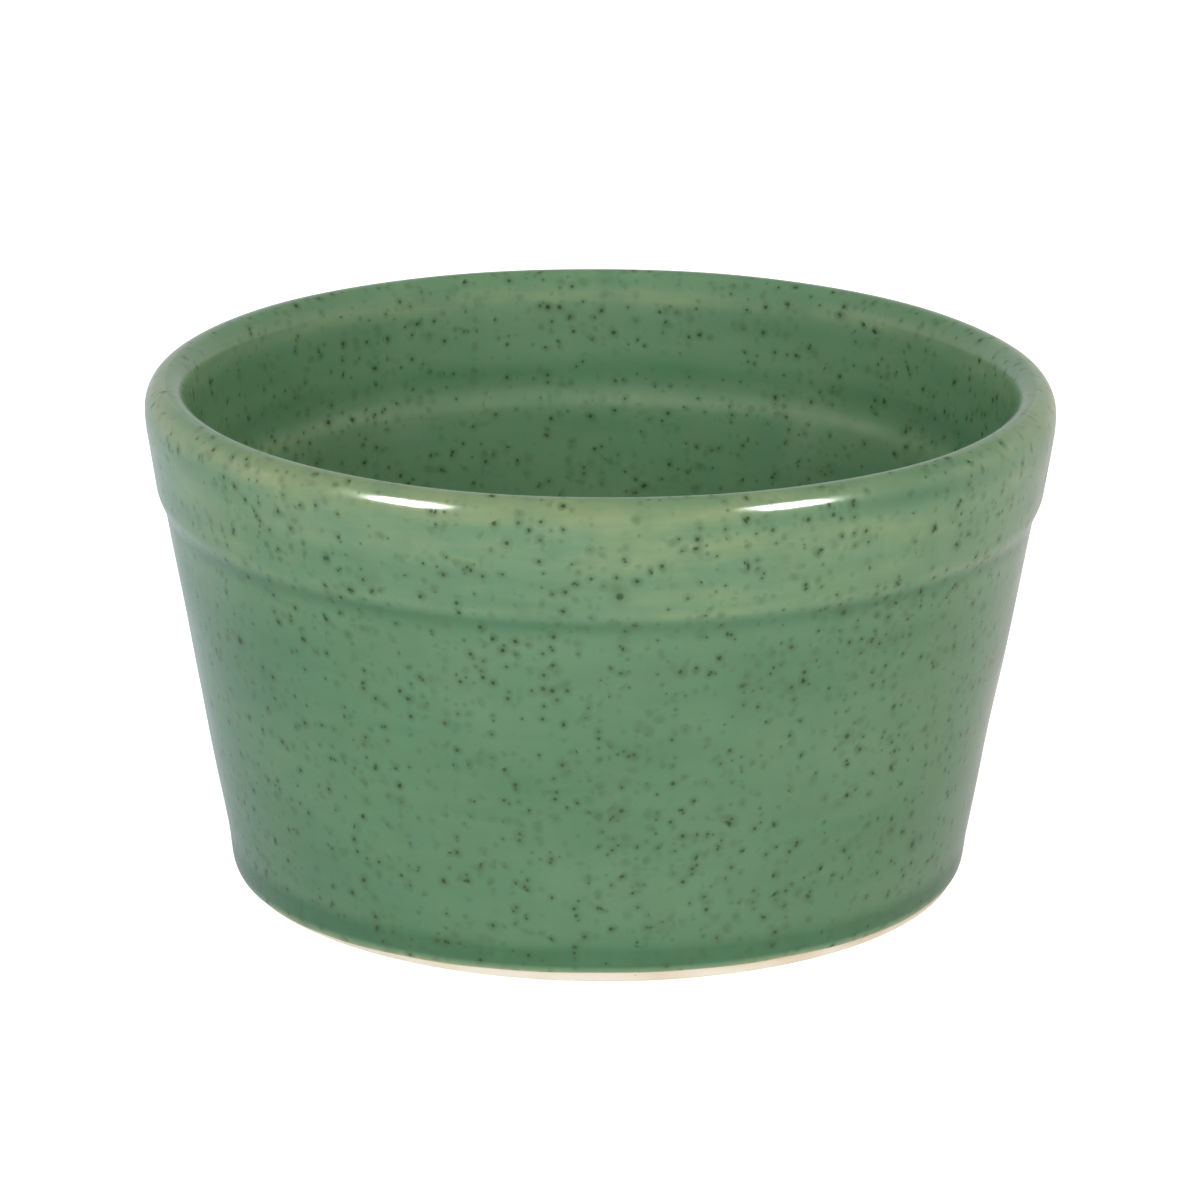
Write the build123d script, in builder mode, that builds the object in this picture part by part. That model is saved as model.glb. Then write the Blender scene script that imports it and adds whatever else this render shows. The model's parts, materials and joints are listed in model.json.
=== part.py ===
"""A speckled green stoneware ramekin.

One thick clay cup, thrown as a truncated cone, with a collar round the top of the
outside and a matching stacking step inside. A single coat of glossy glaze runs up
the outside, over the lip and down over the floor. It thins over the edges, pools
below them, and stops in a fat bead just above the foot, so that the foot ring
stands on bare clay. A second patch of glaze fills the shallow recess underneath.

Millimetres, +Z up. The origin is on the table, at the centre of the foot ring.
"""

import os
from math import atan, cos, degrees, radians, sin, tan

from build123d import *

# Overall form, over the glaze.
rim_diameter = 100.0
height = 56.0
lip_thickness = 4.7
wall_thickness = 4.9
floor_thickness = 5.0

# Lip and collar. The collar leans in at its own taper below the rounded lip.
lip_rise = 2.9
shoulder_radius = 14.0
collar_taper = 8.1
ledge_drop = 13.0
ledge_step = 0.6
ledge_height = 3.2

# Inside, the face below the lip has a taper of its own, and the stacking step lies
# a little lower than the ledge outside.
inner_taper = 9.8
inner_step_drop = 14.0
inner_step_height = 2.8

# Floor and foot. The foot diameter is across the bare clay at the table.
cove_radius = 7.0
foot_diameter = 80.2
heel_radius = 0.8
foot_ring_width = 5.0
foot_recess = 1.2
ring_edge_share = 0.4

# Glaze. The clay's own steps are sharper than the glazed ones over them.
glaze_thickness = 0.35
crest_glaze = 0.3
clay_step_share = 0.45
glaze_line = 1.3
bead_height = 4.2
bead_swell = 0.15

# Shares that shape the curves: handle lengths of the steps and of the bead.
step_handle_share = 0.35
bead_upper_share = 0.45
bead_lower_share = 3.0

rim_radius = rim_diameter / 2
foot_radius = foot_diameter / 2
z_widest = height - lip_rise
z_ledge = height - ledge_drop
z_inner_step = height - inner_step_drop
z_floor = foot_recess + floor_thickness
ring_inner_radius = foot_radius - foot_ring_width
ring_edge_radius = foot_recess * ring_edge_share

# Where the rounded shoulder under the lip turns into the collar's straight face.
collar_lean = tan(radians(collar_taper))
shoulder_in = shoulder_radius * (1 - cos(radians(collar_taper)))
z_shoulder = z_widest - shoulder_radius * sin(radians(collar_taper))


def collar_radius(z):
    """Radius of the glazed collar's straight face at height z, below the shoulder."""
    return rim_radius - shoulder_in - (z_shoulder - z) * collar_lean


wall_top_radius = collar_radius(z_ledge) - ledge_step
wall_foot_radius = foot_radius + glaze_thickness
wall_lean = (wall_top_radius - wall_foot_radius) / z_ledge


def wall_radius(z):
    """Radius of the glazed outer wall at height z, from the foot to the ledge."""
    return wall_foot_radius + wall_lean * z


def step_curve(upper, lower, z_middle, rise):
    """An S from one sloping face down to another, tangent to both.

    upper and lower give the radius of each face at a height.
    """
    z_top, z_bottom = z_middle + rise / 2, z_middle - rise / 2
    handle = rise * step_handle_share
    return Bezier(
        (upper(z_top), z_top),
        (upper(z_top - handle), z_top - handle),
        (lower(z_bottom + handle), z_bottom + handle),
        (lower(z_bottom), z_bottom),
    )


def upper_outline(skin, crest, rise_share):
    """The outline from the ledge, over the lip, to the bottom of the inner step.

    skin is how deep the surface lies under the glaze, and crest the same on top of the lip.
    rise_share is the height of the steps as a share of the glazed ones. The lip is part of
    an ellipse, which ends where it has turned into the inner taper.
    """

    def outer_collar(z):
        return collar_radius(z) - skin

    def outer_wall(z):
        return wall_radius(z) - skin

    def inner_collar(z):
        return inner_top.X - (inner_top.Y - z) * tan(radians(inner_taper))

    def inner_wall(z):
        return wall_radius(z) - wall_thickness + skin

    outer_rise = ledge_height * rise_share
    inner_rise = inner_step_height * rise_share
    ledge_top, step_top = z_ledge + outer_rise / 2, z_inner_step + inner_rise / 2
    step_curve(outer_collar, outer_wall, z_ledge, outer_rise)
    shoulder = JernArc((rim_radius - skin, z_widest), (0, -1), shoulder_radius, -collar_taper)
    Line(shoulder @ 1, (outer_collar(ledge_top), ledge_top))
    lip_radius, rise = lip_thickness / 2 - skin, lip_rise - crest
    lip_centre = (rim_radius - lip_thickness / 2, z_widest)
    lip_end = degrees(atan(tan(radians(inner_taper)) * rise / lip_radius))
    lip = EllipticalCenterArc(lip_centre, lip_radius, rise, arc_size=180 - lip_end)
    inner_top = lip @ 1
    Line(inner_top, (inner_collar(step_top), step_top))
    step_curve(inner_collar, inner_wall, z_inner_step, inner_rise)


def inside_below_step(skin, rise_share):
    """The inner wall, the cove and the floor, to the axis."""
    z_top = z_inner_step - inner_step_height * rise_share / 2
    z_bottom = z_floor - skin
    inner_top = (wall_radius(z_top) - wall_thickness + skin, z_top)
    corner = (wall_radius(z_bottom) - wall_thickness + skin, z_bottom)
    FilletPolyline(inner_top, corner, (0, z_bottom), radius=cove_radius)


# The clay, as one turned section: foot ring, wall, collar, lip, stacking step and floor.
with BuildPart() as stoneware_body:
    with BuildSketch(Plane.XZ) as clay_section:
        with BuildLine():
            upper_outline(glaze_thickness, crest_glaze, clay_step_share)
            inside_below_step(glaze_thickness, clay_step_share)
            Line((0, z_floor - glaze_thickness), (0, foot_recess))
            clay_wall_top = z_ledge - ledge_height * clay_step_share / 2
            FilletPolyline(
                (0, foot_recess),
                (ring_inner_radius, foot_recess),
                (ring_inner_radius, 0),
                (foot_radius, 0),
                (wall_radius(clay_wall_top) - glaze_thickness, clay_wall_top),
                radius=[ring_edge_radius, ring_edge_radius, heel_radius],
            )
        make_face()
    revolve(axis=Axis.Z)
stoneware_body.part.label = "stoneware_body"

# The main coat: the glazed outline, closed by a line that runs inside the clay, less the clay.
with BuildPart() as glaze_coat:
    with BuildSketch(Plane.XZ) as coat_section:
        with BuildLine():
            upper_outline(0, 0, 1)
            inside_below_step(0, 1)
            glazed_wall_top = z_ledge - ledge_height / 2
            bead_top = glaze_line + bead_height
            bead_handle = bead_height * bead_upper_share
            bead_reach = bead_swell * bead_lower_share
            Line(
                (wall_radius(glazed_wall_top), glazed_wall_top),
                (wall_radius(bead_top), bead_top),
            )
            Bezier(
                (wall_radius(bead_top), bead_top),
                (wall_radius(bead_top - bead_handle), bead_top - bead_handle),
                (wall_radius(glaze_line) + bead_reach, glaze_line),
                (wall_radius(glaze_line) - glaze_thickness, glaze_line),
            )
            inside_clay = wall_radius(glaze_line) - wall_thickness / 2
            floor_middle = z_floor - floor_thickness / 2
            Polyline(
                (wall_radius(glaze_line) - glaze_thickness, glaze_line),
                (inside_clay, floor_middle),
                (0, floor_middle),
                (0, z_floor),
            )
        make_face()
        add(clay_section.sketch_local, mode=Mode.SUBTRACT)
    revolve(axis=Axis.Z)
glaze_coat.part.label = "glaze_coat"

# The patch underneath: the top of the recess inside the foot ring, less the clay.
with BuildPart() as underside_glaze:
    with BuildSketch(Plane.XZ) as patch_section:
        with Locations((0, foot_recess - glaze_thickness)):
            Rectangle(ring_inner_radius, glaze_thickness * 2, align=(Align.MIN, Align.MIN))
        add(clay_section.sketch_local, mode=Mode.SUBTRACT)
    revolve(axis=Axis.Z)
underside_glaze.part.label = "underside_glaze"

os.makedirs("parts", exist_ok=True)
for piece in (stoneware_body, glaze_coat, underside_glaze):
    export_step(piece.part, f"parts/{piece.part.label}.step")
    print(piece.part.label, round(piece.part.volume), piece.part.bounding_box().size)
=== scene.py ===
# %% [markdown]
# # A speckled green ramekin
#
# A ramekin is a small oven dish. This one is thrown in stoneware, with a collar round
# the top of the outside and a stacking step inside, and it is dipped in a glossy
# celadon glaze. The glaze is what the eye sees: it is thin and yellowish where it
# slides off an edge, deep and cool where it pools, and peppered with iron.
#
# The shape is worked out with numpy as surfaces of revolution. The finish is worked
# out from how thick the glaze lies, because that is what colours the real one. Part of
# that depth is painted light and shade.

# %% The imported model is the frame
import json

import bpy
import numpy as np
from mathutils import Matrix, Vector

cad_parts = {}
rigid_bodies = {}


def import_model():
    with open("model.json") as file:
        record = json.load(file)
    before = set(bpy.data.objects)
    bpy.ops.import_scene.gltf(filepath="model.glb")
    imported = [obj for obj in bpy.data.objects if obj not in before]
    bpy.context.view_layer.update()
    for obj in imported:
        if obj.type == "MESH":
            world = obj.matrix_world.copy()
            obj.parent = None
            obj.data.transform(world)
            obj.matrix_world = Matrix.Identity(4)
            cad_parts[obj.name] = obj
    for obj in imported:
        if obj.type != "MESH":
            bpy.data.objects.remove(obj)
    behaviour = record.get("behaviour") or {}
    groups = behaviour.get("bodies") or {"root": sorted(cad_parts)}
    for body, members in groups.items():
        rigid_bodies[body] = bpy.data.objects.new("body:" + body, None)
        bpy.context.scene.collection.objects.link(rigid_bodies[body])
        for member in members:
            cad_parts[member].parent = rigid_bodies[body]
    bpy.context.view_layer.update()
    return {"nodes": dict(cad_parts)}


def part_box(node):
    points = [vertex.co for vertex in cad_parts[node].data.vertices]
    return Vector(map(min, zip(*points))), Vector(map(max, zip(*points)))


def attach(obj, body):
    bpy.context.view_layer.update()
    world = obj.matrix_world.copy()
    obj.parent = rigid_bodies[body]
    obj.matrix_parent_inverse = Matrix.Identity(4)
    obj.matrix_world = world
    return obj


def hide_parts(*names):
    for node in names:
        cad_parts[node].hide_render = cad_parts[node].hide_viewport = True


for leftover in list(bpy.data.objects):
    bpy.data.objects.remove(leftover)
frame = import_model()
print("CAD nodes:", sorted(frame["nodes"]))

# %% [markdown]
# ## The sizes
#
# The rim and the height are read from the frame. The other sizes of the form are
# those of the model, written once more in millimetres, because the frame only knows
# its triangles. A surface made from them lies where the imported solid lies.

# %% Sizes of the form
MM = 0.001

rim_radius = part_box("glaze_coat")[1].x
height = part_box("glaze_coat")[1].z
lip_thickness = 4.7 * MM
wall_thickness = 4.9 * MM
floor_thickness = 5.0 * MM

lip_rise = 2.9 * MM
shoulder_radius = 14.0 * MM
collar_taper = np.radians(8.1)
ledge_drop = 13.0 * MM
ledge_step = 0.6 * MM
ledge_height = 3.2 * MM
inner_step_drop = 14.0 * MM
inner_step_height = 2.8 * MM
inner_taper = np.radians(9.8)

cove_radius = 7.0 * MM
foot_radius = 40.1 * MM
heel_radius = 0.8 * MM
foot_ring_width = 5.0 * MM
foot_recess = 1.2 * MM
ring_edge_radius = 0.48 * MM

glaze_thickness = 0.35 * MM
# The clay's crest lies this much lower, so the glaze on the crest is deeper and darker: painted shade on
# the top of the lip.
crest_depth_for_shade = 0.3 * MM
clay_step_share = 0.45
step_handle_share = 0.35

z_widest = height - lip_rise
z_ledge = height - ledge_drop
z_inner_step = height - inner_step_drop
z_floor = foot_recess + floor_thickness
z_shoulder = z_widest - shoulder_radius * np.sin(collar_taper)
shoulder_in = shoulder_radius * (1 - np.cos(collar_taper))
print(f"rim {2 * rim_radius / MM:.1f} mm across, {height / MM:.1f} mm high")

# %% [markdown]
# ## The outline
#
# A thrown pot is one outline turned about its axis. The outline here runs from the
# foot up the outside, over the lip and down the inside to the middle of the floor.
# Both the clay and the glaze use it: the glaze lies on it, and the clay lies a skin
# deeper. Every stretch is a formula on a row of numbers from 0 to 1.

# %% Stretches of an outline
def share_row(count):
    """Numbers from 0 to 1, evenly spaced, without the last, so that stretches join."""
    return np.arange(count) / count


def straight(start, end, count):
    """A point at share s is start plus s times the way to end."""
    start, end = np.array(start), np.array(end)
    s = share_row(count).reshape(-1, *[1] * start.ndim)
    return start + s * (end - start)


def arc(centre, radii, start, end, count):
    """Points at angles from start to end: centre plus (radius times cosine, rise times sine)."""
    angle = start + share_row(count) * (end - start)
    return np.array(centre) + np.stack([radii[0] * np.cos(angle), radii[1] * np.sin(angle)], 1)


def easing(a, b, c, d, count):
    """A cubic curve from a to d, drawn towards b and then c on its way."""
    a, b, c, d = (np.array(p) for p in (a, b, c, d))
    s = share_row(count).reshape(-1, *[1] * a.ndim)
    return (1 - s) ** 3 * a + 3 * (1 - s) ** 2 * s * b + 3 * (1 - s) * s**2 * c + s**3 * d


print("a straight stretch of 4:", straight((0, 0), (1, 2), 4).tolist())

# %% The two slopes of the pot
def collar_radius(z):
    """The collar leans in from the shoulder at its own taper, measured over the glaze."""
    return rim_radius - shoulder_in - (z_shoulder - z) * np.tan(collar_taper)


wall_top_radius = collar_radius(z_ledge) - ledge_step
wall_foot_radius = foot_radius + glaze_thickness
wall_lean = (wall_top_radius - wall_foot_radius) / z_ledge


def wall_radius(z):
    """The wall is a straight cone from the foot to the ledge, measured over the glaze."""
    return wall_foot_radius + wall_lean * z


print(f"the wall leans {np.degrees(np.arctan(wall_lean)):.1f} degrees")

# %% The outline above the foot
def sunk(slope, depth):
    """The same slope, that much nearer to the axis."""
    def deeper(z):
        return slope(z) - depth
    return deeper


def step_between(upper, lower, z_middle, rise, count, downwards):
    """An S between two slopes, tangent to both, over the given rise."""
    z_top, z_bottom = z_middle + rise / 2, z_middle - rise / 2
    handle = rise * step_handle_share
    points = [(slope(z), z) for slope, z in (
        (upper, z_top), (upper, z_top - handle), (lower, z_bottom + handle), (lower, z_bottom))]
    return easing(*(points if downwards else points[::-1]), count)


def upper_outline(skin, crest, rise_share):
    """From the ledge over the lip to the inner step, lying skin deeper than the glaze's face.

    The lip is an ellipse. Inside, it ends where it has turned into the inner taper.
    """
    lip = (lip_thickness / 2 - skin, lip_rise - crest)
    lip_centre = (rim_radius - lip_thickness / 2, z_widest)
    lip_end = np.arctan(np.tan(inner_taper) * lip[1] / lip[0])
    inner_top = (lip_centre[0] - lip[0] * np.cos(lip_end), z_widest + lip[1] * np.sin(lip_end))

    def inner_collar(z):
        return inner_top[0] - (inner_top[1] - z) * np.tan(inner_taper)

    outer_rise, inner_rise = ledge_height * rise_share, inner_step_height * rise_share
    ledge_top, step_top = z_ledge + outer_rise / 2, z_inner_step + inner_rise / 2
    outer_collar, outer_wall = sunk(collar_radius, skin), sunk(wall_radius, skin)
    inner_wall = sunk(wall_radius, wall_thickness - skin)
    shoulder = (shoulder_radius, shoulder_radius)
    return [
        step_between(outer_collar, outer_wall, z_ledge, outer_rise, 20, False),
        straight((outer_collar(ledge_top), ledge_top), (outer_collar(z_shoulder), z_shoulder), 10),
        arc((rim_radius - skin - shoulder_radius, z_widest), shoulder, -collar_taper, 0, 6),
        arc(lip_centre, lip, 0, np.pi - lip_end, 32),
        straight(inner_top, (inner_collar(step_top), step_top), 14),
        step_between(inner_collar, inner_wall, z_inner_step, inner_rise, 20, True),
    ]


def inside_outline(skin, rise_share):
    """Down the inner wall, round the cove and across the floor to the axis."""
    z_top = z_inner_step - inner_step_height * rise_share / 2
    z_bottom = z_floor - skin
    inner_wall = sunk(wall_radius, wall_thickness - skin)
    turn = np.pi / 2 - np.arctan(wall_lean)
    reach = cove_radius * np.tan(turn / 2)
    centre = (inner_wall(z_bottom) - reach, z_bottom + cove_radius)
    cove = arc(centre, (cove_radius, cove_radius), -np.pi / 2 + turn, -np.pi / 2, 14)
    return [
        straight((inner_wall(z_top), z_top), cove[0], 30),
        cove,
        straight((centre[0], z_bottom), (0, z_bottom), 24),
        np.array([(0, z_bottom)]),
    ]


print("points over the lip:", sum(len(s) for s in upper_outline(0, 0, 1)))

# %% [markdown]
# ## From an outline to a surface
#
# Blender has a Screw modifier and a Spin tool, and either would turn an outline about
# an axis. Here the whole surface is one grid of numbers instead, stretches of the
# outline by steps of the turn, so that its radius and height can also vary on the way
# round, as they do on a pot that was dipped by hand. The rows that end on the axis
# close in one point, so every piece is a closed solid.

# %% Turning a grid about the axis
TURNS = 224
turn_angle = np.arange(TURNS) * 2 * np.pi / TURNS


def all_round(row):
    """One value per point of the outline, repeated for every step of the turn."""
    return np.repeat(np.asarray(row)[:, None], TURNS, 1)


def on_points(grid):
    """The values of a grid in the order of a turned mesh's points, one for each pole."""
    return np.concatenate([grid[:1, 0], grid[1:-1].reshape(-1, *grid.shape[2:]), grid[-1:, 0]])


def turned_mesh(name, radius, rise):
    """A closed mesh from two grids, outline points by turn steps.

    A point is (radius cos turn, radius sin turn, rise). The first and the last row
    each lie on the axis and become one point, joined to its neighbours by a fan.
    """
    bands = len(radius) - 3
    points = on_points(np.stack([radius * np.cos(turn_angle), radius * np.sin(turn_angle), rise], -1))
    here = 1 + np.arange(bands * TURNS).reshape(bands, TURNS)
    beside = np.roll(here, -1, 1)
    quads = np.stack([here, beside, beside + TURNS, here + TURNS], -1).reshape(-1, 4)
    first, last = 1 + np.arange(TURNS), 1 + bands * TURNS + np.arange(TURNS)
    start_pole, end_pole = np.zeros(TURNS, int), np.full(TURNS, len(points) - 1)
    start_fan = np.stack([start_pole, np.roll(first, -1), first], -1)
    end_fan = np.stack([end_pole, last, np.roll(last, -1)], -1)
    mesh = bpy.data.meshes.new(name)
    mesh.from_pydata(points.tolist(), [], quads.tolist() + start_fan.tolist() + end_fan.tolist())
    mesh.polygons.foreach_set("use_smooth", np.ones(len(mesh.polygons), bool))
    return mesh


def add_piece(name, mesh, node):
    """Puts a mesh in the scene as a piece that stands for a CAD node."""
    piece = bpy.data.objects.new(name, mesh)
    bpy.context.scene.collection.objects.link(piece)
    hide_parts(node)
    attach(piece, "root")
    print(f"{name}: {len(mesh.vertices)} points, {len(mesh.polygons)} faces")
    return piece


print("a full turn has", TURNS, "steps")

# %% [markdown]
# ## The clay
#
# Only the foot shows as bare clay, because the potter wipes it so that the pot doesn't
# stick to the kiln shelf. The whole body is modelled all the same: it carries the
# glaze, and seen from below its ring is half of what there is to see.

# %% An outline with rounded corners
def rounded_path(corners, radii, count):
    """Straight from corner to corner, with a fillet of the given radius at each one between."""
    corners = [np.array(c, float) for c in corners]
    stretches, start = [], corners[0]
    for before, corner, after, radius in zip(corners, corners[1:], corners[2:], radii):
        back = (before - corner) / np.linalg.norm(before - corner)
        on = (after - corner) / np.linalg.norm(after - corner)
        half = np.arccos(back @ on) / 2
        centre = corner + (back + on) / np.linalg.norm(back + on) * radius / np.sin(half)
        enter, leave = corner + back * radius / np.tan(half), corner + on * radius / np.tan(half)
        from_angle = np.arctan2(*(enter - centre)[::-1])
        sweep = (np.arctan2(*(leave - centre)[::-1]) - from_angle + np.pi) % (2 * np.pi) - np.pi
        stretches.append(straight(start, enter, count))
        stretches.append(arc(centre, (radius, radius), from_angle, from_angle + sweep, count // 2))
        start = leave
    return stretches + [straight(start, corners[-1], 2 * count)]


print("a rounded right angle:", [len(s) for s in rounded_path([(0, 0), (1, 0), (1, 1)], [0.2], 6)])

# %% The clay body
ring_inner_radius = foot_radius - foot_ring_width
clay_wall_top = z_ledge - ledge_height * clay_step_share / 2
clay_wall_end = (wall_radius(clay_wall_top) - glaze_thickness, clay_wall_top)

clay_above_foot = np.concatenate([
    *upper_outline(glaze_thickness, crest_depth_for_shade, clay_step_share),
    *inside_outline(glaze_thickness, clay_step_share),
])
foot_corners = [(0, foot_recess), (ring_inner_radius, foot_recess), (ring_inner_radius, 0),
                (foot_radius, 0), clay_wall_end]
foot_fillets = [ring_edge_radius, ring_edge_radius, heel_radius]
clay_foot = np.concatenate(rounded_path(foot_corners, foot_fillets, 18))
clay_outline = np.concatenate([clay_foot, clay_above_foot])
clay_mesh = turned_mesh("fired_body", all_round(clay_outline[:, 0]), all_round(clay_outline[:, 1]))
fired_body = add_piece("fired_body", clay_mesh, "stoneware_body")

# %% [markdown]
# ## The glaze
#
# The pot is dipped upside down, so the glaze ends in a line just above the foot. The
# line isn't level: it dips where the pot was tilted, and the melt gathers above it in
# a fat bead. That bead is the one part of the glaze whose shape changes on the way
# round, so its rows are worked out for every step of the turn.

# %% The line where the glaze ends
glaze_line = 0.95 * MM
line_tilt, line_sag, line_waver = 0.25 * MM, 0.05 * MM, 0.22 * MM
tilt_turn = np.radians(20)
line_tremble = 0.05 * MM
bead_height = 4.2 * MM
bead_reach = 0.45 * MM
bead_upper_share = 0.45


def line_height(turn):
    """The height of the glaze's edge.

    A tilt, a sag and a waver are waves of one, two and three to a turn, added up, and a
    tremble is the mean of one of eleven and one of twenty-three.
    """
    front = turn + np.pi / 2
    return (glaze_line + line_tilt * np.sin(front + tilt_turn) + line_sag * np.sin(2 * front)
            + line_waver * np.cos(3 * front) + line_tremble * (np.sin(11 * turn) + np.sin(23 * turn)) / 2)


line_row = line_height(turn_angle)
print(f"the glaze ends {line_row.min() / MM:.2f} to {line_row.max() / MM:.2f} mm up")

# %% The glazed face
def glazed_grids():
    """Radius and height of the glaze's face, outline points by turn steps.

    The bead is a cubic curve that leaves the clay level, swells and eases into the wall.
    Its end on the clay follows the line, so its first two points differ all round the pot.
    """
    bead_top = glaze_line + bead_height
    handle_top = bead_top - bead_height * bead_upper_share
    everywhere = np.ones(TURNS)
    a = np.stack([wall_radius(line_row) - glaze_thickness, line_row])
    b = np.stack([wall_radius(line_row) + bead_reach, line_row])
    c = np.stack([wall_radius(handle_top) * everywhere, handle_top * everywhere])
    d = np.stack([wall_radius(bead_top) * everywhere, bead_top * everywhere])
    bead = easing(a, b, c, d, 24)
    wall_top = z_ledge - ledge_height / 2
    rest = np.concatenate([
        straight((wall_radius(bead_top), bead_top), (wall_radius(wall_top), wall_top), 50),
        *upper_outline(0, 0, 1),
        *inside_outline(0, 1),
    ])
    return (np.concatenate([bead[:, 0], all_round(rest[:, 0])]),
            np.concatenate([bead[:, 1], all_round(rest[:, 1])]))


face_radius, face_rise = glazed_grids()
print("the glazed face has", face_radius.shape, "points")

# %% [markdown]
# ## The depth of the glaze
#
# On the real pot the glaze thins on the edges and gathers below them, and its colour
# tells where. The Geometry node's Pointiness could find the edges, but it answers to
# how fine the mesh is. Here the depth is measured instead, from the glaze's face to
# the clay. Rings round the pot, and one side of its lip, are then made deeper or
# thinner than that. Part of that is the melt, and part is painted light and shade: the
# outside lighter towards the lip, a darker band under the ledge, and a darker side of the lip.

# %% How deep the glaze lies
def glaze_depth(radius, rise):
    """The distance from each point of the glazed outline to the clay's, in glaze thicknesses.

    The nearest point on each stretch of the clay's outline is found by dropping a
    perpendicular to it, and the shortest of those distances counts.
    """
    points = np.stack([radius, rise], 1)[:, None]
    start, way = clay_outline[None, :-1], np.diff(clay_outline, axis=0)[None]
    reach = np.clip(((points - start) * way).sum(-1) / np.maximum((way**2).sum(-1), 1e-18), 0, 1)
    gap = np.linalg.norm(points - start - reach[..., None] * way, axis=-1)
    return gap.min(1) / glaze_thickness


def along_outline(radius, rise):
    """The length of the outline up to each of its points."""
    return np.concatenate([[0], np.hypot(np.diff(radius), np.diff(rise)).cumsum()])


depth_blur = 0.8 * MM


def blurred(values, length):
    """Values along the outline, evened out with their neighbours under a bell curve.

    Light that enters the glaze scatters sideways in it, so its colour answers to the depth
    of a whole neighbourhood.
    """
    nearness = np.exp(-(((length[:, None] - length) / depth_blur) ** 2)) * np.gradient(length)
    return (nearness * values).sum(1) / nearness.sum(1)


print("depths are measured to", len(clay_outline) - 1, "stretches of clay")

# %% Rings where the melt gathers or thins, and painted light and shade
line_fade = 1.2 * MM

# Outside or inside, height, half width, share of the depth.
# The two top rings on the outside thin the glaze towards the lip: partly the melt, partly painted light
# from above. The ring at 42.3 mm darkens the band under the ledge: partly pooled glaze, partly painted
# shade.
melt_and_light_rings = [
    (True, 54.9 * MM, 1.6 * MM, -0.42), (True, 50.8 * MM, 4.8 * MM, -0.33),
    (True, 45.2 * MM, 1.5 * MM, -0.15), (True, 42.3 * MM, 1.2 * MM, 0.10),
    (True, 39.8 * MM, 1.6 * MM, -0.08), (True, 3.4 * MM, 1.3 * MM, 0.12),
    (False, 53.5 * MM, 1.3 * MM, -0.32), (False, 44.0 * MM, 9.0 * MM, -0.06),
    (False, 45.0 * MM, 1.3 * MM, 0.16), (False, 41.8 * MM, 1.2 * MM, -0.16),
]


def share_melt_and_light(rise, length, crest):
    """The share of the depth that the rings leave.

    It is 1 plus a bell curve about the height of each ring. At the lower line, it goes
    straight down to nothing.
    """
    share = np.ones(len(rise))
    for outside, ring_height, half_width, change in melt_and_light_rings:
        side = length < crest if outside else length > crest
        share += side * change * np.exp(-(((rise - ring_height) / half_width) ** 2))
    return share * np.minimum(length / line_fade, 1)


print("rings where the melt gathers or thins:", len(melt_and_light_rings))

# %% The side of the lip with painted shade
side_turn, side_half_turn = np.radians(-49), np.radians(20)
side_height, side_half_height = 54.3 * MM, 1.5 * MM
side_shade_share = 1.1


def shade_painted_at_side(rise, length, crest):
    """The share of depth that one side of the lip has more than the rest.

    It is one bell curve over the height times another round the pot. The deeper glaze
    darkens that side of the lip as painted shade.
    """
    over_height = (length < crest) * np.exp(-(((rise - side_height) / side_half_height) ** 2))
    away = (turn_angle - side_turn + np.pi) % (2 * np.pi) - np.pi
    return side_shade_share * over_height[:, None] * np.exp(-((away / side_half_turn) ** 2))


print(f"the deeper side lies {np.degrees(side_turn):.0f} degrees round from +X")

# %% The depth along the outline
front_turn = 3 * TURNS // 4
front_radius, front_rise = face_radius[:, front_turn], face_rise[:, front_turn]
length_row = along_outline(front_radius, front_rise)
crest_length = length_row[front_rise.argmax()]
depth_row = blurred(glaze_depth(front_radius, front_rise), length_row)
# The rings carry the melt and painted light and shade into the depth.
depth_row *= share_melt_and_light(front_rise, length_row, crest_length)
print(f"the glaze lies {depth_row.min():.2f} to {depth_row.max():.2f} of its thickness deep")

# %% [markdown]
# A glaze that has melted is never as true as the clay under it. A swell of a few
# hundredths of a millimetre can't be seen as a shape, but it bends the reflections,
# and without it the pot looks like plastic. It fades out at the glaze's edge and at
# the middle of the floor, where all the rows meet.

# %% The swell of the melt
swell = 0.03 * MM
swell_length = 21.0 * MM
swell_edge = 2.0 * MM
swell_middle = 12.0 * MM
swell_tint = 0.35

# For each wave: how many go to a turn, its slant along the outline, its start and its share.
swell_waves = [(3, 1.0, 0, 1.0), (5, -0.7, 2, 1.0), (11, 1.6, 4, 0.5)]


def melt_swell(radius, length):
    """Three slanting sine waves, round the pot and along its outline, added up and faded out."""
    along = length[:, None] * 2 * np.pi / swell_length
    waves = sum(share * np.sin(count * turn_angle + slant * along + start)
                for count, slant, start, share in swell_waves)
    fade = np.minimum(length / swell_edge, 1)[:, None] * np.minimum(radius / swell_middle, 1)
    return swell * waves * fade


swell_grid = melt_swell(face_radius, length_row)
run_radius, run_rise = np.gradient(face_radius, axis=0), np.gradient(face_rise, axis=0)
run_length = np.maximum(np.hypot(run_radius, run_rise), 1e-9)
swollen_radius = face_radius + swell_grid * run_rise / run_length
swollen_rise = face_rise - swell_grid * run_radius / run_length
swollen_radius[-1] = 0
print(f"the melt swells by up to {abs(swell_grid).max() / MM:.3f} mm")

# %% The glaze as a closed skin
down_to_line = straight(
    np.array(clay_wall_end)[:, None] * np.ones(TURNS),
    np.stack([wall_radius(line_row) - glaze_thickness, line_row]), 20)
back_radius = np.concatenate([all_round(clay_above_foot[::-1, 0]), down_to_line[:, 0]])
back_rise = np.concatenate([all_round(clay_above_foot[::-1, 1]), down_to_line[:, 1]])
glaze_mesh = turned_mesh("fired_glaze", np.concatenate([back_radius, swollen_radius]),
                         np.concatenate([back_rise, swollen_rise]))


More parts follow.
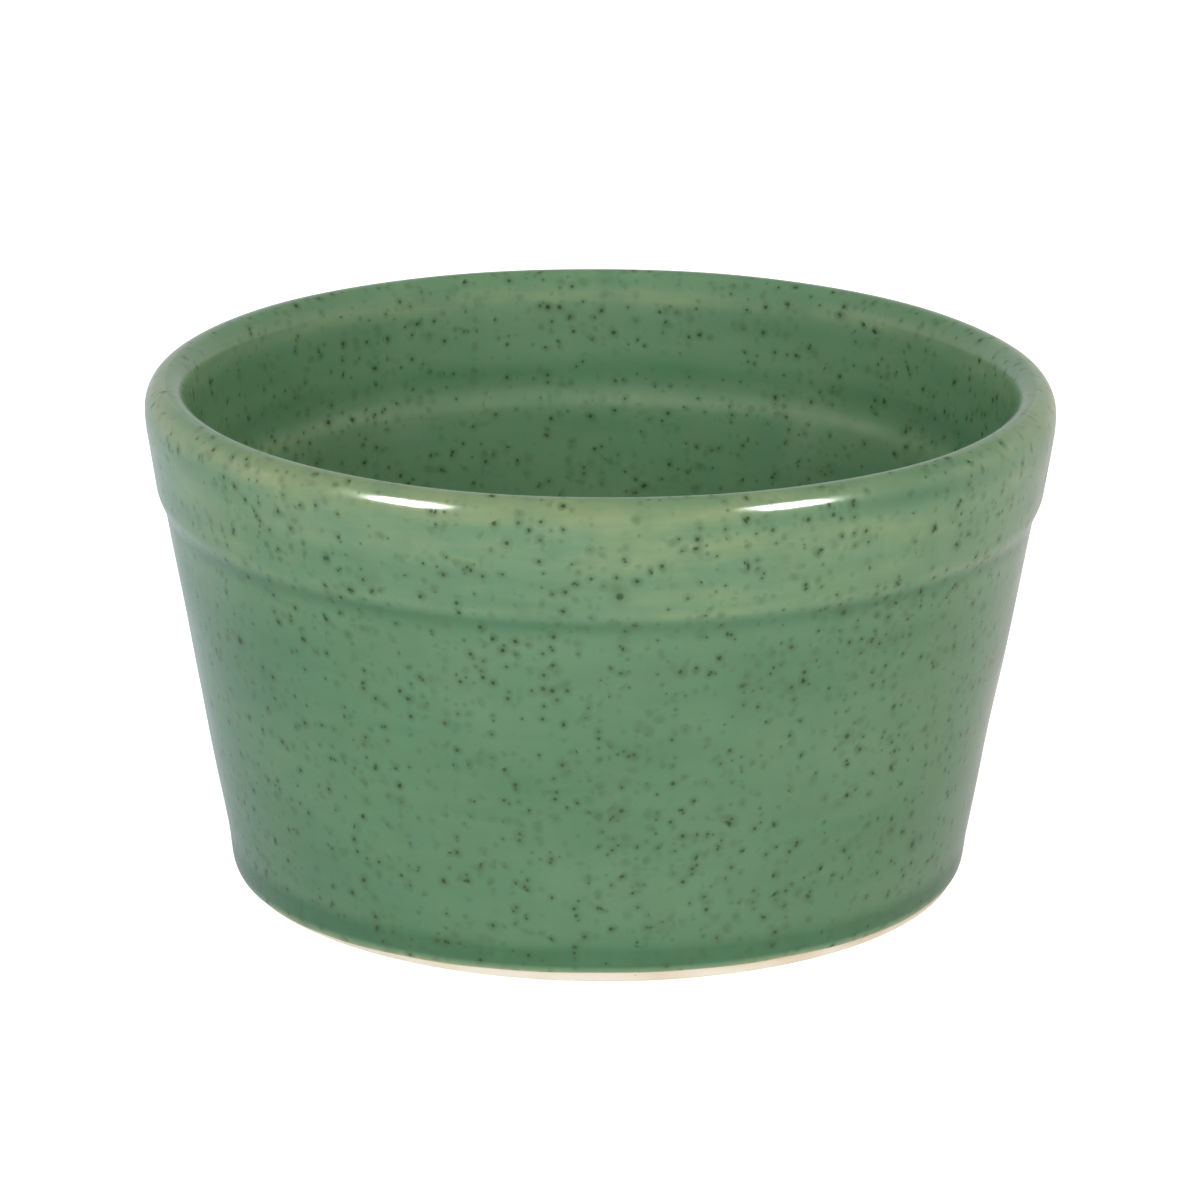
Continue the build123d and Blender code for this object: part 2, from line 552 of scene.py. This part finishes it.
def tell_mesh(mesh, name, values):
    """Stores one number per point under a name that materials can read."""
    attribute = mesh.attributes.new(name, "FLOAT", "POINT")
    attribute.data.foreach_set("value", values.astype(np.float32))


# One side of the lip is made deeper, which is painted shade.
tinted_row = depth_row[:, None] * (1 + shade_painted_at_side(front_rise, length_row, crest_length))
swollen_depth = tinted_row + swell_tint * swell_grid / glaze_thickness
depth_grid = np.concatenate([np.ones(back_radius.shape), swollen_depth])
tell_mesh(glaze_mesh, "glaze_depth", on_points(depth_grid))
length_grid = np.concatenate([np.zeros(back_radius.shape), all_round(length_row)])
tell_mesh(glaze_mesh, "run_length", on_points(length_grid))
fired_glaze = add_piece("fired_glaze", glaze_mesh, "glaze_coat")

# %% [markdown]
# Underneath, the recess inside the foot ring is glazed too. It never touches the
# shelf, so it needn't be wiped. The patch lies against the clay and rounds off to
# nothing at its rim.

# %% The glaze underneath
patch_face = foot_recess - glaze_thickness
patch_gap = 0.3 * MM
patch_edge = ring_inner_radius - patch_gap
patch_outline = np.concatenate([
    straight((0, patch_face), (patch_edge - glaze_thickness, patch_face), 24),
    arc((patch_edge - glaze_thickness, foot_recess), (glaze_thickness, glaze_thickness), -np.pi / 2, 0, 10),
    straight((patch_edge, foot_recess), (0, foot_recess), 8),
    np.array([(0, foot_recess)]),
])
patch_mesh = turned_mesh("underside_patch", all_round(patch_outline[:, 0]), all_round(patch_outline[:, 1]))
patch_depth = glaze_depth(patch_outline[:, 0], patch_outline[:, 1])
tell_mesh(patch_mesh, "glaze_depth", on_points(all_round(patch_depth)))
tell_mesh(patch_mesh, "run_length", on_points(all_round(patch_outline[:, 0])))
underside_patch = add_piece("underside_patch", patch_mesh, "underside_glaze")

# %% [markdown]
# ## Finishes
#
# A finish here is a network of nodes that Blender evaluates at every point. The next
# cell gives them short names, so that a recipe reads like a recipe. Sizes in it are
# real ones: a blotch of 8 mm is written as 8 millimetres.

# %% A few words for node networks
def colour(red, green, blue):
    """A colour as a paint chart gives it, from 0 to 255, turned into the linear light that shaders use."""
    c = np.array([red, green, blue]) / 255
    return (*np.where(c <= 0.04045, c / 12.92, ((c + 0.055) / 1.055) ** 2.4), 1)


class Recipe:
    """The node network of a material or of the world."""

    def __init__(self, holder, coordinates="Object"):
        holder.use_nodes = True
        self.tree = holder.node_tree
        self.surface = next(n for n in self.tree.nodes if n.type in ("BSDF_PRINCIPLED", "BACKGROUND"))
        self.place = self.node("ShaderNodeTexCoord").outputs[coordinates]

    def node(self, kind, **settings):
        """Adds a node of some kind, with its settings."""
        made = self.tree.nodes.new(kind)
        for name, value in settings.items():
            setattr(made, name, value)
        return made

    def feed(self, socket, value):
        """Sets a socket to a number or colour, or wires another node's output to it."""
        if isinstance(value, bpy.types.NodeSocket):
            self.tree.links.new(value, socket)
        else:
            socket.default_value = value

    def sum(self, operation, a, b):
        """Works out one number from two, as their product or the larger of them."""
        made = self.node("ShaderNodeMath", operation=operation)
        self.feed(made.inputs[0], a)
        self.feed(made.inputs[1], b)
        return made.outputs[0]

    def vector(self, operation, a, b):
        """Works out one place from two, part by part."""
        made = self.node("ShaderNodeVectorMath", operation=operation)
        self.feed(made.inputs[0], a)
        self.feed(made.inputs[1], b)
        return made.outputs[0]

    def parts(self, vector):
        """The three parts of a vector, under the names X, Y and Z."""
        made = self.node("ShaderNodeSeparateXYZ")
        self.feed(made.inputs[0], vector)
        return made.outputs

    def stored(self, name):
        """A value that the mesh carries at its points."""
        return self.node("ShaderNodeAttribute", attribute_name=name).outputs["Fac"]

    def fade(self, value, start, end, low=0.0, high=1.0):
        """Goes smoothly from low to high as the value goes from start to end."""
        made = self.node("ShaderNodeMapRange", interpolation_type="SMOOTHSTEP")
        for name, number in (("Value", value), ("From Min", start), ("From Max", end),
                             ("To Min", low), ("To Max", high)):
            self.feed(made.inputs[name], number)
        return made.outputs["Result"]

    def cloud(self, size, detail=2.0, place=None, shift=(0, 0, 0), output="Fac"):
        """A soft random pattern whose blotches measure about the given size, from 0 to 1."""
        made = self.node("ShaderNodeTexNoise")
        self.feed(made.inputs["Vector"], self.vector("ADD", place or self.place, shift))
        made.inputs["Scale"].default_value = 1 / size
        made.inputs["Detail"].default_value = detail
        return made.outputs[output]

    def mix(self, share, under, over):
        """Lays one colour over another, by a share from 0 to 1."""
        made = self.node("ShaderNodeMix", data_type="RGBA")
        factor, first, second = (made.inputs[i] for i in (0, 6, 7))
        self.feed(factor, share)
        self.feed(first, under)
        self.feed(second, over)
        return made.outputs[2]

    def bands(self, value, stops):
        """A row of colours that blend into each other as the value goes from 0 to 1."""
        ramp = self.node("ShaderNodeValToRGB")
        marks = ramp.color_ramp.elements
        while len(marks) < len(stops):
            marks.new(1.0)
        for mark, (position, tone) in zip(marks, stops):
            mark.position, mark.color = position, tone
        self.feed(ramp.inputs["Fac"], value)
        return ramp.outputs["Color"]


print("linear light of a mid grey:", [round(float(c), 3) for c in colour(128, 128, 128)[:3]])

# %% [markdown]
# ## The iron pepper
#
# The specks are grains of iron that melt through the glaze. Each cell of a Voronoi
# pattern holds one point at random, and a speck is what lies close enough to it. The
# cells fill space, so the surface cuts some specks in the middle and grazes others,
# and they come out in mixed sizes, as real grains do. A cloud thins them out in
# places, and so does a thin glaze, which holds less iron. A second set, moved a little
# way by another cloud, makes the pairs and short chains that the pot shows.

# %% Specks
smallest_share, core_share = 0.6, 0.35
bleed_outer_share, bleed_inner_share = 3.2, 0.5


def pepper(recipe, place, spacing, size, kept):
    """How much of a speck there is at a point, its bleeding edge, and a random tone for each.

    kept is the share of the cells that hold a speck, and size is the radius of the largest.
    A speck fades out from its core to its radius, and its bleeding edge goes on past that.
    """
    cells = recipe.node("ShaderNodeTexVoronoi")
    recipe.feed(cells.inputs["Vector"], place)
    cells.inputs["Scale"].default_value = 1 / spacing
    chance = recipe.node("ShaderNodeSeparateColor")
    recipe.feed(chance.inputs["Color"], cells.outputs["Color"])
    there = recipe.sum("LESS_THAN", chance.outputs["Red"], kept)
    spread = recipe.fade(chance.outputs["Green"], 0, 1, smallest_share * size / spacing, size / spacing)
    reach = recipe.sum("MULTIPLY", spread, there)
    distance = cells.outputs["Distance"]
    speck = recipe.fade(distance, reach, recipe.sum("MULTIPLY", reach, core_share))
    bleed = recipe.fade(distance, recipe.sum("MULTIPLY", reach, bleed_outer_share),
                        recipe.sum("MULTIPLY", reach, bleed_inner_share))
    return speck, bleed, chance.outputs["Blue"]


# %% How the pot is peppered
speck_spacing, speck_size = 1.25 * MM, 0.35 * MM
chain_size, chain_reach, chain_share = 0.31 * MM, 2.6 * MM, 0.5
dust_spacing, dust_size, dust_share = 1.0 * MM, 0.20 * MM, 0.24
large_spacing, large_size, large_share = 8.0 * MM, 0.60 * MM, 0.4
crowd_size, wander_size = 7.0 * MM, 4.0 * MM
sparse_share, crowded_share, thin_share = 0.24, 0.64, 0.62
iron_strength, bleed_strength = 0.74, 0.34
print(f"about {(10 * MM / speck_spacing) ** 2:.0f} cells on a square centimetre,",
      f"of which {sparse_share:.0%} to {crowded_share:.0%} hold a speck")

# %% [markdown]
# ## The glaze's finish
#
# A celadon glaze is coloured glass. Where it lies thin the clay shows through, pale
# and yellowish; at its usual depth it is a greyed green, and where it pools it turns
# deeper and cooler. So the colour is read from a row of tones by the depth that the
# mesh carries. Clouds of several sizes push that reading about. One is stretched along
# the way that the glaze ran, and one round the pot, like the marks of the throwing,
# which show most where the glaze is thin.

# %% The tones of the glaze
thin_edge = colour(216, 200, 152)
thin_tone = colour(150, 167, 124)
break_tone = colour(118, 152, 113)
main_tone = colour(98, 137, 101)
pooled_tone = colour(73, 117, 81)
bluish_tone = colour(84, 134, 110)
olive_tone = colour(104, 130, 90)
iron_dark = colour(36, 62, 34)
iron_brown = colour(72, 76, 38)
iron_bleed = colour(74, 102, 64)

print("the usual tone in linear light:", [round(float(v), 3) for v in main_tone[:3]])

# %% Clouds that push the depth and the tone
streak_size, streak_push, streak_squeeze = 6.0 * MM, 0.10, 0.25
throw_size, throw_push_thin, throw_push_deep, throw_squeeze = 2.0 * MM, 0.80, 0.20, (0.16, 0.16, 1)
blotch_size, blotch_push = 9.0 * MM, 0.06
bluish_size, bluish_most = 3.6 * MM, 0.19
olive_size, olive_most = 3.0 * MM, 0.18
print(f"clouds of {throw_size / MM:.0f} to {blotch_size / MM:.0f} mm")

# %% The glaze's recipe
smoothest, roughest = 0.10, 0.20
peel_size, peel_depth, pit_share = 1.8 * MM, 0.006 * MM, 0.5
glass_index = 1.55


def glaze_recipe():
    """The whole network of the glaze, from its depth to its gloss."""
    glaze = bpy.data.materials.new("speckled_green_glaze")
    r = Recipe(glaze)
    depth, run = r.stored("glaze_depth"), r.stored("run_length")
    flat = r.vector("MULTIPLY", r.place, (1, 1, 0))
    stretched = r.node("ShaderNodeCombineXYZ")
    r.feed(stretched.inputs["Z"], r.sum("MULTIPLY", run, streak_squeeze))
    run_place = r.vector("ADD", flat, stretched.outputs[0])

    streaks = r.sum("SUBTRACT", r.cloud(streak_size, 3, run_place), 0.5)
    round_place = r.vector("MULTIPLY", r.place, throw_squeeze)
    thrown = r.sum("SUBTRACT", r.cloud(throw_size, 3, round_place), 0.5)
    thrown = r.sum("MULTIPLY", thrown, r.fade(depth, 0.5, 1.0, throw_push_thin, throw_push_deep))
    blotches = r.sum("SUBTRACT", r.cloud(blotch_size, 2), 0.5)
    pushed = r.sum("ADD", r.sum("ADD", depth, thrown), r.sum("MULTIPLY", streaks, streak_push))
    pushed = r.sum("ADD", pushed, r.sum("MULTIPLY", blotches, blotch_push))
    # The depth also carries painted light and shade: the outside lighter towards the lip, and darker under
    # the ledge, on the crest and on one side of the lip.
    tone = r.bands(r.sum("MULTIPLY", pushed, 0.5), [
        (0.02, thin_edge), (0.17, thin_tone), (0.36, break_tone), (0.50, main_tone), (0.64, pooled_tone)])
    bluish = r.fade(r.cloud(bluish_size, 3, shift=(1, 0, 0)), 0.40, 0.70, 0, bluish_most)
    olive = r.fade(r.cloud(olive_size, 3, shift=(0, 1, 0)), 0.42, 0.72, 0, olive_most)
    tone = r.mix(olive, r.mix(bluish, tone, bluish_tone), olive_tone)

    crowd = r.fade(r.cloud(crowd_size, 1, shift=(0, 0, 1)), 0.35, 0.65, sparse_share, crowded_share)
    wander = r.vector("SUBTRACT", r.cloud(wander_size, output="Color"), (0.5,) * 3)
    moved = r.vector("ADD", r.place, r.vector("MULTIPLY", wander, (chain_reach,) * 3))
    kept = r.sum("MULTIPLY", crowd, r.fade(depth, 0.45, 1.0, thin_share, 1.0))
    fewer = r.sum("MULTIPLY", kept, chain_share)
    specks = [
        pepper(r, r.place, speck_spacing, speck_size, kept),
        pepper(r, moved, speck_spacing, chain_size, fewer),
        pepper(r, r.vector("ADD", r.place, (1, 1, 1)), dust_spacing, dust_size, dust_share),
        pepper(r, r.vector("ADD", r.place, (2, 1, 1)), large_spacing, large_size, large_share),
    ]
    for speck, bleed, chance in specks:
        tone = r.mix(r.sum("MULTIPLY", bleed, bleed_strength), tone, iron_bleed)
    for speck, bleed, chance in specks:
        iron = r.mix(r.fade(chance, 0.7, 1.0), iron_dark, iron_brown)
        tone = r.mix(r.sum("MULTIPLY", speck, iron_strength), tone, iron)
    r.feed(r.surface.inputs["Base Color"], tone)

    r.feed(r.surface.inputs["Roughness"], r.fade(blotches, -0.3, 0.3, smoothest, roughest))
    pits = r.sum("MULTIPLY", specks[0][0], pit_share)
    bump = r.node("ShaderNodeBump")
    bump.inputs["Distance"].default_value = peel_depth
    r.feed(bump.inputs["Height"], r.sum("SUBTRACT", r.cloud(peel_size, 1), pits))
    r.feed(r.surface.inputs["Normal"], bump.outputs["Normal"])
    r.surface.inputs["IOR"].default_value = glass_index
    return glaze


glaze_finish = glaze_recipe()
for piece in (fired_glaze, underside_patch):
    piece.data.materials.append(glaze_finish)
print("the glaze has", len(glaze_finish.node_tree.nodes), "nodes")

# %% [markdown]
# ## The bare clay
#
# Fired stoneware is a fine biscuit: pale, matt and a little gritty, toasted brown
# where the flame reached past the glaze, with iron grains of its own.

# %% The clay's finish
biscuit = colour(249, 239, 223)
warm_biscuit = colour(239, 223, 200)
toasted = colour(206, 172, 136)
grit_dark = colour(104, 80, 58)
warm_size, flame_size = 9.0 * MM, 16.0 * MM
toast_start, toast_end = 0.3 * MM, 1.5 * MM
flame_start, flame_end, flame_elsewhere = 27.0 * MM, 37.0 * MM, 0.6
grit_spacing, grit_size, grit_share, grit_strength = 1.3 * MM, 0.13 * MM, 0.6, 0.7
matt_size, matt_least, matt_most = 2.0 * MM, 0.75, 0.92
grain_size, grain_depth = 0.35 * MM, 0.06 * MM


def clay_recipe():
    """Biscuit with soft warm blotches and sparse grit.

    It is toasted under the glaze in places, and all along the side that faced the flame.
    """
    clay = bpy.data.materials.new("bare_stoneware")
    r = Recipe(clay)
    tone = r.mix(r.fade(r.cloud(warm_size, 3), 0.4, 0.7), biscuit, warm_biscuit)
    place = r.parts(r.place)
    edge = r.fade(place["Z"], toast_start, toast_end)
    licked = r.fade(r.cloud(flame_size, 2, shift=(1, 0, 0)), 0.45, 0.7, 0.0, flame_elsewhere)
    flamed = r.sum("MAXIMUM", r.fade(place["X"], flame_start, flame_end), licked)
    tone = r.mix(r.sum("MULTIPLY", edge, flamed), tone, toasted)
    grit = pepper(r, r.place, grit_spacing, grit_size, grit_share)[0]
    tone = r.mix(r.sum("MULTIPLY", grit, grit_strength), tone, grit_dark)
    r.feed(r.surface.inputs["Base Color"], tone)
    r.feed(r.surface.inputs["Roughness"], r.fade(r.cloud(matt_size), 0.3, 0.7, matt_least, matt_most))
    bump = r.node("ShaderNodeBump")
    bump.inputs["Distance"].default_value = grain_depth
    r.feed(bump.inputs["Height"], r.cloud(grain_size, 4))
    r.feed(r.surface.inputs["Normal"], bump.outputs["Normal"])
    return clay


fired_body.data.materials.append(clay_recipe())
print("the clay's finish is on", fired_body.name)

# %% [markdown]
# ## The table
#
# The pot stands on a white sheet that takes its shadow. The sheet is lit from below a
# little, as on a light table, which keeps the bare foot bright. For the camera it adds
# more light of its own, so that it reads as white paper. In the glaze it is mirrored
# brighter behind the pot than beside it, and cooler on the left than on the right.

# %% The white sheet
sheet_size = 6.0
sheet_white = 0.65
sheet_glow = 0.42
sheet_lift = 0.85
sheet_mirror_near, sheet_mirror_behind = 0.48, 0.68
behind_start, behind_end = -0.02, 0.05
cool_light, warm_light = (0.90, 1.0, 1.06, 1), (1.03, 1.0, 0.97, 1)
tint_reach = 0.06


def sheet_recipe():
    """Matt white, with light of its own that differs for the camera, for the pot and for its gloss."""
    paper = bpy.data.materials.new("white_sheet")
    r = Recipe(paper)
    seen, place = r.node("ShaderNodeLightPath"), r.parts(r.place)
    mirrored = seen.outputs["Is Glossy Ray"]
    white = (sheet_white, sheet_white, sheet_white, 1)
    r.feed(r.surface.inputs["Base Color"], r.mix(mirrored, white, (0, 0, 0, 1)))
    r.surface.inputs["Roughness"].default_value = 1.0
    r.surface.inputs["Specular IOR Level"].default_value = 0.0
    behind = r.fade(place["Y"], behind_start, behind_end, sheet_mirror_near, sheet_mirror_behind)
    own = r.sum("MULTIPLY", seen.outputs["Is Camera Ray"], sheet_lift)
    own = r.sum("ADD", own, r.sum("MULTIPLY", seen.outputs["Is Diffuse Ray"], sheet_glow))
    own = r.sum("ADD", own, r.sum("MULTIPLY", mirrored, behind))
    r.feed(r.surface.inputs["Emission Strength"], own)
    tint = r.mix(r.fade(place["X"], -tint_reach, tint_reach), cool_light, warm_light)
    r.feed(r.surface.inputs["Emission Color"], tint)
    return paper


def lay_sheet():
    """A square sheet at the height of the foot."""
    half = sheet_size / 2
    corners = [(-half, -half, 0), (half, -half, 0), (half, half, 0), (-half, half, 0)]
    mesh = bpy.data.meshes.new("table_sheet")
    mesh.from_pydata(corners, [], [(0, 1, 2, 3)])
    sheet = bpy.data.objects.new("table_sheet", mesh)
    bpy.context.scene.collection.objects.link(sheet)
    mesh.materials.append(sheet_recipe())


lay_sheet()
print(f"a sheet {sheet_size} m square")

# %% [markdown]
# ## The light
#
# Most of the light comes from the room, which is about as bright overhead as near the
# horizon, and it leaves the inside of the pot in shade. A large softbox in front of the
# pot adds to it, and a small one shines over the lip onto the far inside. The glaze
# doesn't mirror those two. Two more softboxes close to the rim are only mirrored and shed
# no light: they leave the two long highlights on the lip. The three small ones have a
# grid, which keeps them in a narrow beam, off the rest of the pot.

# %% The sizes of the softboxes
box_distance = 0.10
box_width, box_height = 0.0325, 0.034
box_brightness = 120.0
grid_angle = np.radians(32)
box_elevation, front_elevation, inner_elevation = 36, 20, 35
front_distance = 0.45
front_width, front_height = 0.46, 0.24
front_brightness = 1.5
inner_distance = 0.25
inner_width, inner_height = 0.05, 0.03
inner_brightness = 58.0
inner_grid_angle = np.radians(14)
far_lift = 4.0 * MM
print(f"the front box is {front_width} by {front_height} m")

# %% The softboxes in their places
def place_softbox(name, azimuth, elevation, target, distance, width, tall, brightness, spread):
    """A rectangular lamp that faces a target. Its angles are seen from there, counted from the front.

    The lamp's power is brightness times pi times its area, less what its grid holds back.
    """
    a, e = np.radians(azimuth), np.radians(elevation)
    away = Vector((np.sin(a) * np.cos(e), -np.cos(a) * np.cos(e), np.sin(e)))
    half = spread / 2
    lamp = bpy.data.lights.new(name, "AREA")
    lamp.shape = "RECTANGLE"
    lamp.size, lamp.size_y = width, tall
    lamp.spread = spread
    lamp.energy = brightness * np.pi * width * tall * (np.tan(half) - half) / np.tan(half)
    box = bpy.data.objects.new(name, lamp)
    box.location = target + away * distance
    box.rotation_euler = away.to_track_quat("Z", "Y").to_euler()
    bpy.context.scene.collection.objects.link(box)
    return box


# The side, the azimuth of the box, and the azimuth of the place on the rim that it faces.
edge_boxes = [("left", -55, -24), ("right", 54, 24)]
small_box = (box_distance, box_width, box_height, box_brightness, grid_angle)
for side, azimuth, rim_azimuth in edge_boxes:
    turn = np.radians(rim_azimuth)
    lip = Vector((np.sin(turn) * rim_radius, -np.cos(turn) * rim_radius, height))
    edge_box = place_softbox(f"{side}_softbox", azimuth, box_elevation, lip, *small_box)
    edge_box.visible_diffuse = False
front_lip = Vector((0, -rim_radius, height))
far_inside = Vector((0, rim_radius - lip_thickness, z_inner_step + far_lift))
front_box = place_softbox("front_softbox", 0, front_elevation, front_lip, front_distance,
                          front_width, front_height, front_brightness, np.pi)
inner_box = place_softbox("inner_softbox", 0, inner_elevation, far_inside, inner_distance,
                          inner_width, inner_height, inner_brightness, inner_grid_angle)
front_box.visible_glossy = inner_box.visible_glossy = False
print("four lamps, two of them", box_distance, "m from the lip")

# %% The white room
light_level, light_overhead = 0.82, 0.72
mirror_level, mirror_overhead = 0.62, 0.15
level_end, overhead_start = 0.25, 0.75
front_dimming = 0.45
front_end, back_start = -0.6, 0.2
cool_room, warm_room = (0.98, 1.03), (1.03, 0.97)


def make_room():
    """A world that is white for the camera, and gives the pot its light and its reflections.

    Those two have brightnesses of their own, which fade from a level one to one overhead.
    Height counts as the upward part of a direction of length 1. Reflections are dimmer in
    front, and the left of the room is a little cooler than the right.
    """
    world = bpy.data.worlds.new("white_room")
    bpy.context.scene.world = world
    r = Recipe(world, "Generated")
    seen, way = r.node("ShaderNodeLightPath").outputs, r.parts(r.place)
    mirrored = r.sum("MULTIPLY", r.fade(way["Z"], level_end, overhead_start, mirror_level, mirror_overhead),
                     r.fade(way["Y"], front_end, back_start, front_dimming, 1.0))
    shed = r.fade(way["Z"], level_end, overhead_start, light_level, light_overhead)
    lit = r.fade(seen["Is Glossy Ray"], 0, 1, shed, mirrored)
    r.feed(r.surface.inputs["Strength"], r.fade(seen["Is Camera Ray"], 0, 1, lit, 1.0))
    tint = r.node("ShaderNodeCombineColor")
    tint.inputs["Green"].default_value = 1
    for name, cool, warm in zip(("Red", "Blue"), cool_room, warm_room):
        share = r.fade(way["X"], -1, 1, cool, warm)
        r.feed(tint.inputs[name], r.fade(seen["Is Camera Ray"], 0, 1, share, 1.0))
    r.feed(r.surface.inputs["Color"], tint.outputs[0])


make_room()
print("the room's light goes from", light_level, "to", light_overhead)

# %% [markdown]
# ## The camera
#
# The photograph was taken with a long lens from a little above the pot. Its place was
# worked out from how the rim, the ledge and the foot flatten into ellipses, and the
# picture leans by half a degree.

# %% The camera
camera_distance = 713.0 * MM
camera_elevation = np.radians(17.228)
camera_lean = np.radians(0.458)
aim = Vector((0.09 * MM, 0, 30.28 * MM))
lens_mm = 192.66


def set_camera():
    """Stands the camera back from its aim, turns it to face it and leans it."""
    back = Vector((0, -np.cos(camera_elevation), np.sin(camera_elevation)))
    lens = bpy.data.cameras.new("camera")
    lens.lens = lens_mm
    camera = bpy.data.objects.new("camera", lens)
    facing = back.to_track_quat("Z", "Y").to_matrix() @ Matrix.Rotation(camera_lean, 3, "Z")
    camera.rotation_euler = facing.to_euler()
    camera.location = aim + back * camera_distance
    lens.clip_start, lens.clip_end = 0.01, 20
    bpy.context.scene.collection.objects.link(camera)
    bpy.context.scene.camera = camera


set_camera()
bpy.context.scene.view_settings.view_transform = "Standard"
print("the camera stands", round(camera_distance, 3), "m away")
